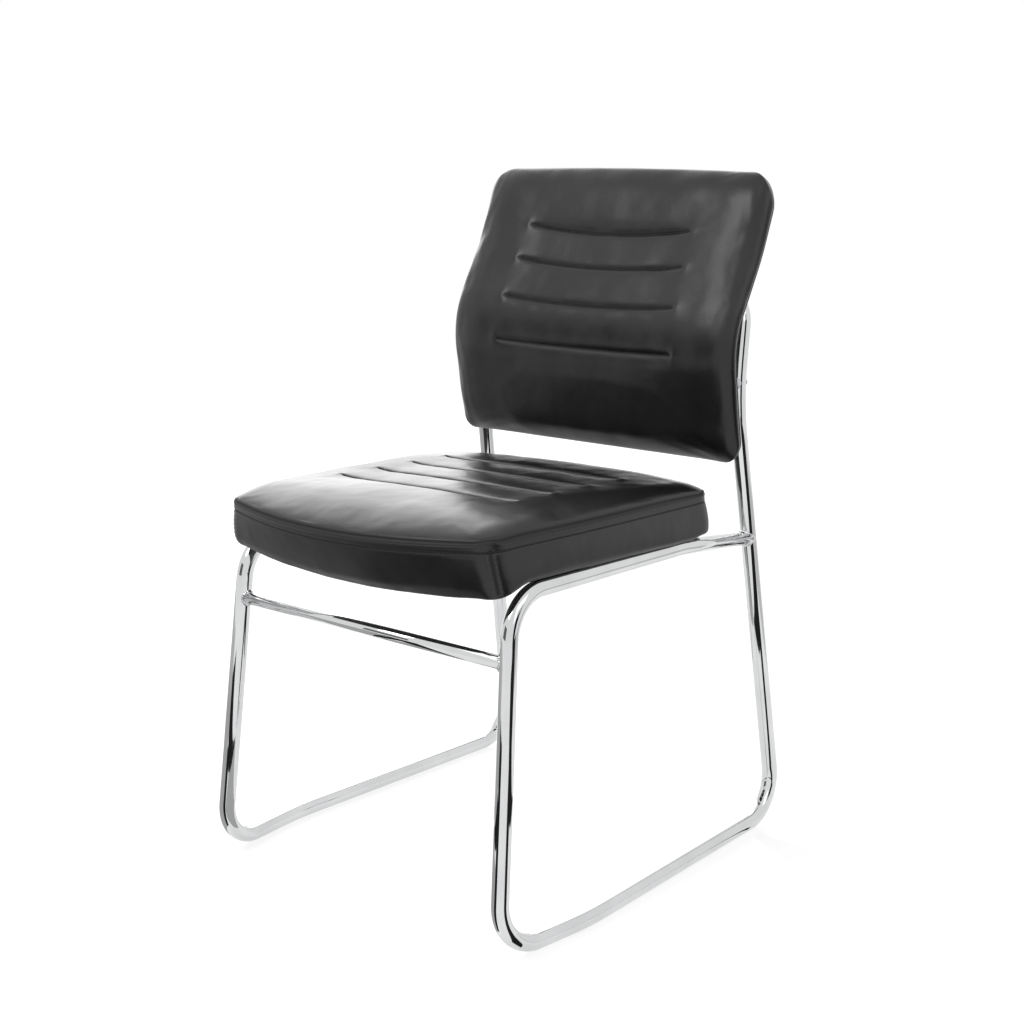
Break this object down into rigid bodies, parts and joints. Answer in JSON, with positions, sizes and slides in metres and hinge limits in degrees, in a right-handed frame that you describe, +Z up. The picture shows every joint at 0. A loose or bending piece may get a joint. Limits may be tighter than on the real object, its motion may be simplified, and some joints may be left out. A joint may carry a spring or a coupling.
{
  "type": "sled base visitor chair",
  "caption": "Visitor chair with a bent chromed tube sled frame, front stretcher and padded black leather seat and back with sewn channels.",
  "frame": {"origin": "on the floor, under the middle of the chair's bounding box", "axes": "+Z up, the sitter faces -Y, +X is the sitter's left"},
  "size_m": [0.5, 0.5788, 0.8377],
  "materials": {
    "chrome": "bright polished chrome plate",
    "steel": "zinc plated, satin",
    "leather": "smooth black leather with fine creases, semi-matt",
    "foam": "cut upholstery foam",
    "plywood": "raw moulded plywood",
    "cloth": "black non-woven lining"
  },
  "bodies": {
    "root": {"side_frame_left": "chrome", "side_frame_right": "chrome", "bow_sleeve": "steel", "front_stretcher": "chrome", "seat_bar_front": "steel", "seat_bar_rear": "steel", "seat_dust_cover": "cloth", "seat_board": "plywood", "seat_foam": "foam", "seat_boxing": "leather", "seat_top_panel": "leather", "back_front_cover": "leather", "back_foam": "foam", "back_board": "plywood", "back_rear_panel": "leather", "seat_washer_front_left": "steel", "seat_bolt_front_left": "steel", "seat_tee_nut_front_left": "steel", "seat_washer_front_right": "steel", "seat_bolt_front_right": "steel", "seat_tee_nut_front_right": "steel", "seat_washer_rear_left": "steel", "seat_bolt_rear_left": "steel", "seat_tee_nut_rear_left": "steel", "seat_washer_rear_right": "steel", "seat_bolt_rear_right": "steel", "seat_tee_nut_rear_right": "steel", "back_bolt_lower_left": "chrome", "back_insert_lower_left": "steel", "back_bolt_lower_right": "chrome", "back_insert_lower_right": "steel", "back_bolt_upper_left": "chrome", "back_insert_upper_left": "steel", "back_bolt_upper_right": "chrome", "back_insert_upper_right": "steel", "back_spacer_lower_left": "steel", "back_spacer_lower_right": "steel"}
  },
  "joints": []
}
